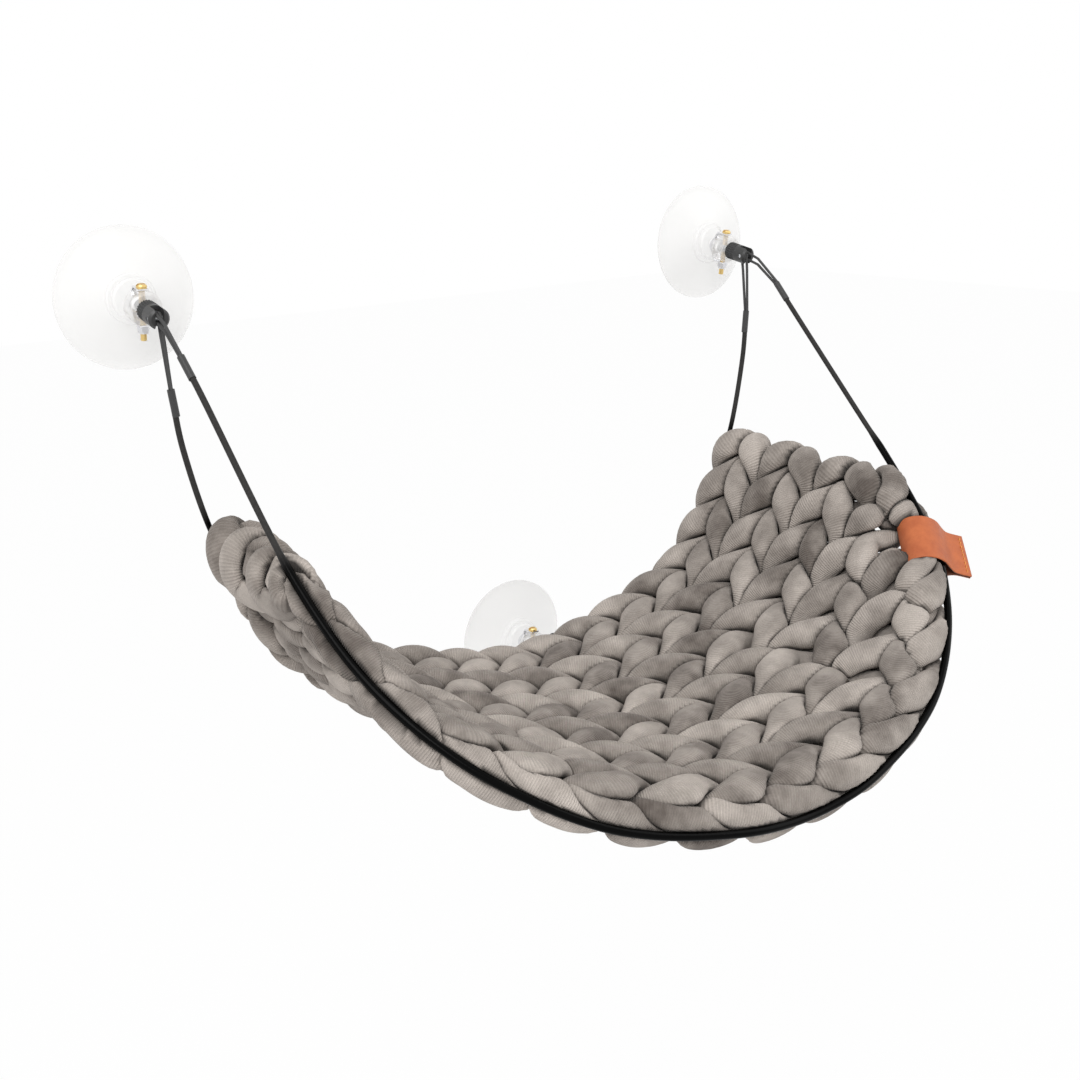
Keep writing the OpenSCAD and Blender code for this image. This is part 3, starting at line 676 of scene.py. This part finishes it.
def row_path(row):
    """One row of loops. The yarn goes forwards in odd rows, and back in even ones."""
    x = wales(row)
    outermost = np.interp(row, *LAST_REACH) - np.interp(row, *PAST_FRONT)
    edges = np.concatenate([[x[0] - WALE / 2], (x[1:] + x[:-1]) / 2,
                            [x[-1] + outermost / 2 / FARTHEST]])
    t = np.linspace(-math.pi, math.pi, LOOP_POINTS, endpoint=False)
    low = REACH * (FIRST_LOW if row == 0 else 1)
    path = []
    for i, centre in enumerate(x):
        gap = 2 * np.where(t < 0, centre - edges[i], edges[i + 1] - centre)
        side = centre + gap * (t / (2 * math.pi) + SWING * np.sin(2 * t))
        reach = (REACH + low) / 2 + (REACH - low) / 2 * np.cos(t)
        if i == len(x) - 1:
            longer = np.interp(row, *LAST_LONGER)
            longer = np.where((row == 0) & (t > math.pi / 2), 0, longer)
            reach = reach * (1 + longer * np.where(t > 0, np.sin(t) ** 2, 0))
        path.append(np.stack([side, row + 0.5 + reach * np.cos(t), LAYER * np.cos(2 * t)], 1))
    path.append([[edges[-1], row + 0.5 - low, LAYER]])
    path = np.vstack(path)
    return path if row % 2 else path[::-1]


def turn_path(start, end, drawn):
    """The yarn's turn from one row to the next, round the edge."""
    t = np.linspace(0, 1, TURN_POINTS + 2)[1:-1, None]
    path = start + (end - start) * (1 - np.cos(math.pi * t)) / 2
    return path + np.sin(math.pi * t) * drawn


def to_space(path):
    """Places, the bed's normals, and its thickness as a share, in seven columns."""
    place, _, normal = bed(path[:, 0], path[:, 1])
    thin = thinned(path[:, 0], path[:, 1])[:, None]
    return np.hstack([place - normal * path[:, 2:3] * thin, normal, thin])


def cast_on():
    """The rolls, in the same seven columns."""
    x = wales(0)
    thin = thinned(x, 0)
    points = []
    for i, centre in enumerate(x):
        following = x[min(i + 1, len(x) - 1)]
        for k, (out, up) in enumerate(ROLL):
            onward = max(0, k + 1 + ONWARD - len(ROLL)) / (ONWARD + 1)
            between = centre + (following - centre) * onward
            place, along, normal = bed(between, end_curl(between))
            roll = place + (normal * (up - CURL) - along * out) * thin[i]
            points.append(np.concatenate([roll, normal, thin[i:i + 1]]))
    return smooth_through(points, steps=ROLL_STEPS)


def yarn_line():
    """The yarn's middle line in seven columns, and how many legs of loops it has made so far at
    each point."""
    cast = cast_on()
    parts = [cast]
    legs = [np.linspace(-CAST_LEGS, 0, len(cast))]
    count = 0
    for row in range(ROWS):
        path = row_path(row)
        if row:
            turn = turn_path(last, path[0], BACK_TURN if row % 2 else FRONT_TURN)
            parts.append(to_space(turn))
            legs.append(np.full(len(turn), float(count)))
        made = 2 * ((len(path) - 1) // LOOP_POINTS)
        parts.append(to_space(path))
        legs.append(count + np.linspace(0, made, len(path)))
        count += made
        last = path[-1]
    return np.vstack(parts), np.concatenate(legs)


# The yarn itself: an oval section that yields to its neighbours

# Its half thickness across its own way, and off the bed
YARN_ACROSS = 0.0140
YARN_UP = 0.0108
YARN_SIDES = 28
YARN_STEP = 0.003
# Step of the finer line that is smoothed first, and the smoothing's width in points
FINE_STEP = 0.001
FINE_WIDTH = 3
# How far the yarn wanders off its line and over what length, and how its thickness changes
WANDER = 0.0012
WANDER_PITCH = 0.045
SWELL_SHARE = 0.05
SWELL_PITCH = 0.06
# Strands squeeze each other if they are further apart than this along the yarn, and nearer in
# space than this many times its half thickness. The last share is for what lies in the knit.
APART = 0.036
NEAR_SHARE = 2.1
NEAR_KEPT_SHARE = 1.2
# Radii are at most this share of the yarn's bend radius, and at least a smallest one
BEND_SHARE = 0.85
SMALLEST_R = 0.002
# Half the gap between strands, and the gap to what lies in the knit
STRAND_GAP = 0.0004
KEPT_GAP = 0.0005
# Sharpness of the bend where a free radius meets its limit, and the squeeze at which the painted
# shade in the creases is darkest
SHARPNESS = 9
DARKEST = 0.25
# Strands are compared in blocks of this many points, to save memory
BLOCK = 256
# The strand in the label's loop: how near it is, and how far it is drawn to the loop's middle,
# with the lengths along the label to where it is drawn in full and not at all
DRAWN_WITHIN = 0.021
DRAWN_SHARE = 0.85
DRAWN_LENGTHS = (0.010, 0.030)
DRAWN_WIDTH = 4
# The wedge outside the front cord that stays open: distances out, and its widening as a share
GROOVE_OUT = (0, 0.002, 0.004, 0.007)
GROOVE_WIDENS = 0.4
GROOVE_STEP = 0.0015
GROOVE_PAST = 0.03
SHARE_STEP = 0.01
# Places along the lower anchor's pin, and the room round it for its cord loop
LOWER_PIN = np.linspace((0.034, -0.0485, -0.311), (0.050, -0.0485, -0.311), 9)
PIN_ROOM = 0.009


def softened(values, width):
    """The values' columns, each blurred over so many points."""
    reach = 3 * width
    kernel = np.exp(-0.5 * (np.arange(-reach, reach + 1) / width) ** 2)
    kernel /= kernel.sum()
    padded = np.pad(values, ((reach, reach), (0, 0)), mode="edge")
    return np.stack([np.convolve(column, kernel, "valid") for column in padded.T], 1)


def wandering(lengths, pitch, columns):
    """Smooth random values from -1 to 1 along the yarn, one knot a pitch."""
    parts = 8
    knots = rng.uniform(-1, 1, (int(lengths[-1] / pitch) + 3, columns))
    fine = softened(np.repeat(knots, parts, 0), parts // 2)
    return at_lengths(fine, np.arange(len(fine)) * pitch / parts, lengths)


def squeezed(points, lengths, directions):
    """Radii that stop halfway to the yarn's other strands."""
    limit = np.ones(directions.shape[:2])
    near_enough = (NEAR_SHARE * YARN_ACROSS) ** 2
    for start in range(0, len(points), BLOCK):
        block = slice(start, start + BLOCK)
        gap = points[None] - points[block, None]
        distance = np.einsum("ijk,ijk->ij", gap, gap)
        near = (distance < near_enough) & (np.abs(lengths[None] - lengths[block, None]) > APART)
        for i in range(len(gap)):
            found = np.flatnonzero(near[i])
            if len(found):
                towards = directions[start + i] @ gap[i, found].T
                reach = distance[i, found] / (2 * np.maximum(towards, 1e-6))
                limit[start + i] = reach.min(1)
    return limit


def kept_clear(points, directions, limit, obstacles, clearance):
    """The same radii, cut short where they would come nearer to an obstacle than its clearance."""
    near_enough = (NEAR_KEPT_SHARE * YARN_ACROSS + clearance) ** 2
    for i, point in enumerate(points):
        gap = obstacles - point
        distance = np.einsum("ij,ij->i", gap, gap)
        found = np.flatnonzero(distance < near_enough)
        if len(found):
            towards = directions[i] @ gap[found].T
            inside = towards ** 2 - distance[found] + clearance ** 2
            reach = towards - np.sqrt(np.maximum(inside, 0))
            reach = np.where((inside > 0) & (towards > 0), reach, 1)
            limit[i] = np.minimum(limit[i], reach.min(1))
    return limit


def gathered(points, middle, axes):
    """The leg that goes through the label's loop is drawn to the middle of it."""
    local = (points - middle) @ axes.T
    near = np.hypot(local[:, 0], local[:, 1]) < DRAWN_WITHIN
    pull = DRAWN_SHARE * np.interp(np.abs(local[:, 2]), DRAWN_LENGTHS, (1, 0)) * near
    local[:, :2] *= 1 - softened(pull[:, None], DRAWN_WIDTH)
    return middle + local @ axes


def cord_groove():
    """The front cord, and a wedge of places outside it, which the yarn leaves open."""
    lengths = np.arange(FRONT_REACH[0] - GROOVE_PAST, FRONT_REACH[1] + GROOVE_PAST, GROOVE_STEP)
    share = (lengths - FRONT_REACH[0]) / (FRONT_REACH[1] - FRONT_REACH[0])
    share = np.clip(share, 0, 1)
    row = share * ROWS
    back, front = bed_lines(share)
    ahead = bed_lines(np.minimum(share + SHARE_STEP, 1))
    behind = bed_lines(np.maximum(share - SHARE_STEP, 0))
    across = unit(front - back)
    up = unit(np.cross(across, ahead[0] + ahead[1] - behind[0] - behind[1]))
    lift = np.interp(row, *FRONT_LIFT) - CURL * np.interp(row, *FRONT_THIN)
    outward = unit(across * front_edge(row)[:, None] - up * lift[:, None])
    return [(FRONT.at(lengths) + outward * out, COVERED_R + STRAND_GAP + GROOVE_WIDENS * out)
            for out in GROOVE_OUT]


def label_loop(middle, axes, section):
    """Places in the leather where it goes round the edge, and what the yarn keeps from them."""
    z = np.linspace(-LABEL_W / 2, LABEL_W / 2, LOOP_COLUMNS)
    loop = section[section[:, 0] < LOOP_END]
    grid = np.column_stack([np.repeat(loop, len(z), 0), np.tile(z, len(loop))])
    return middle + grid @ axes, LEATHER / 2 + KEPT_GAP


def yarn_points():
    """The yarn's points a step apart, their lengths and legs, and the bed's normals and shares
    of its thickness there."""
    dense, dense_legs = yarn_line()
    dense_lengths = lengths_along(dense[:, :3])
    fine = np.arange(0, dense_lengths[-1], FINE_STEP)
    line = softened(at_lengths(dense, dense_lengths, fine), FINE_WIDTH)
    line_lengths = lengths_along(line[:, :3])
    lengths = np.arange(0, line_lengths[-1], YARN_STEP)
    legs = np.interp(np.interp(lengths, line_lengths, fine), dense_lengths, dense_legs)
    line = at_lengths(line, line_lengths, lengths)
    points = line[:, :3] + WANDER * wandering(lengths, WANDER_PITCH, 3)
    return points, lengths, legs, unit(line[:, 3:6]), line[:, 6:]


def free_radii(lengths, tangents, directions, normals, thin):
    """The oval section's radii, which are smaller inside sharp bends."""
    up = np.abs(np.einsum("ijk,ik->ij", directions, normals))
    radius = 1 / np.sqrt((up / (YARN_UP * thin)) ** 2 + (1 - up ** 2) / YARN_ACROSS ** 2)
    radius *= 1 + SWELL_SHARE * wandering(lengths, SWELL_PITCH, 1)
    bend = np.gradient(tangents, YARN_STEP, axis=0)
    inward = np.einsum("ijk,ik->ij", directions, bend)
    return np.minimum(radius, BEND_SHARE / np.maximum(inward, 1))


def leg_nap_shades(legs):
    """A random tone for each leg of the loops, along the yarn, as painted light and shade of the
    nap.
    """
    tones = rng.uniform(0, 1, int(legs.max() - legs.min()) + 3)
    whole = np.floor(legs - legs.min()).astype(int)
    return softened(tones[whole][:, None], 2)[:, 0]


def add_knit(middle, axes, obstacles):
    points, lengths, legs, normals, thin = yarn_points()
    points = gathered(points, middle, axes)
    tangents = tangents_of(points)
    directions = directions_round(tangents, YARN_SIDES, (0, 0, 1))
    base = free_radii(lengths, tangents, directions, normals, thin)
    limit = squeezed(points, lengths, directions) - STRAND_GAP
    for places, clearance in obstacles:
        limit = kept_clear(points, directions, limit, places, clearance)
    limit = np.maximum(limit, SMALLEST_R)
    radius = softened((base ** -SHARPNESS + limit ** -SHARPNESS) ** (-1 / SHARPNESS), 1)
    piece = skin("knitted_sling_yarn", points[:, None] + directions * radius[..., None])
    give_points(piece, "along", np.repeat(lengths, YARN_SIDES))
    # Painted light and shade of the nap: a random tone for each leg
    give_points(piece, "tone", np.repeat(leg_nap_shades(legs), YARN_SIDES))
    # Painted shade in the creases: darker where the strands squeeze each other harder
    give_points(piece, "crease_shade", np.clip((base / limit - 1) / DARKEST, 0, 1).ravel())
    dress(piece, "knit", "knitted_sling")


add_knit(label_middle, label_axes,
         [*cord_groove(), (LOWER_PIN, PIN_ROOM),
          label_loop(label_middle, label_axes, label_section)])

# Finishes of the pieces that the frame brings

for name, node in frame["nodes"].items():
    slot = next((m["slot"] for m in frame["record"]["materials"]
                 if name in m.get("nodes", [])), None)
    if slot:
        paint(node, slot)

# The room: a pale floor far below, and soft light from all round

WHITE = (1, 1, 1, 1)
WORLD_LIGHT = 0.55
FLOOR_BELOW = 0.45
FLOOR_SIZE = 12
# The share of its own shade that the floor shows
FLOOR_SHADE = 0.03
# What the lights point at, and their places, sizes in metres and powers in watts
LIT_PLACE = np.array([0, -0.2, -0.2])
KEY_LIGHT = ((-1.7, -1.8, 1.9), 2.5, 68)
FILL_LIGHT = ((2.0, -1.6, 1.0), 2.0, 16)


def lit_white(tree, surface, keep, kind):
    """Shows white to the camera and in reflections, apart from the share that keeps its shade."""
    rays = tree.nodes.new("ShaderNodeLightPath")
    seen = rays.outputs["Is Camera Ray"]
    for other in ("Is Glossy Ray", "Is Transmission Ray"):
        either = tree.nodes.new("ShaderNodeMath")
        either.operation = "MAXIMUM"
        tree.links.new(seen, either.inputs[0])
        tree.links.new(rays.outputs[other], either.inputs[1])
        seen = either.outputs[0]
    share = tree.nodes.new("ShaderNodeMath")
    share.operation = "MULTIPLY"
    share.inputs[1].default_value = 1 - keep
    tree.links.new(seen, share.inputs[0])
    white = tree.nodes.new(kind)
    white.inputs["Color"].default_value = WHITE
    mix = tree.nodes.new("ShaderNodeMixShader")
    tree.links.new(share.outputs[0], mix.inputs[0])
    tree.links.new(surface, mix.inputs[1])
    tree.links.new(white.outputs[0], mix.inputs[2])
    return mix.outputs[0]


def add_world():
    world = bpy.data.worlds.new("studio")
    bpy.context.scene.world = world
    world.use_nodes = True
    tree = world.node_tree
    background = tree.nodes["Background"]
    background.inputs["Color"].default_value = WHITE
    background.inputs["Strength"].default_value = WORLD_LIGHT
    mixed = lit_white(tree, background.outputs[0], 0, "ShaderNodeBackground")
    tree.links.new(mixed, tree.nodes["World Output"].inputs["Surface"])


def add_floor():
    half = FLOOR_SIZE / 2
    z = cad_low.z - FLOOR_BELOW
    corners = [(-half, -half, z), (half, -half, z), (half, half, z), (-half, half, z)]
    floor = new_piece("floor", corners, [(0, 1, 2, 3)], smooth=False)
    shader = Shader("floor_white", Roughness=0.8, Base_Color=linear(240, 240, 240))
    mixed = lit_white(shader.tree, shader.surface.outputs[0], FLOOR_SHADE, "ShaderNodeEmission")
    shader.tree.links.new(mixed, shader.tree.nodes["Material Output"].inputs["Surface"])
    floor.data.materials.append(shader.material)


def add_light(name, place, size, power):
    data = bpy.data.lights.new(name, "AREA")
    data.size = size
    data.energy = power
    aim(add_to_scene(name, data), place, unit(np.array(place) - LIT_PLACE))


add_world()
add_floor()
add_light("key", *KEY_LIGHT)
add_light("fill", *FILL_LIGHT)
bpy.context.scene.view_settings.view_transform = "Standard"
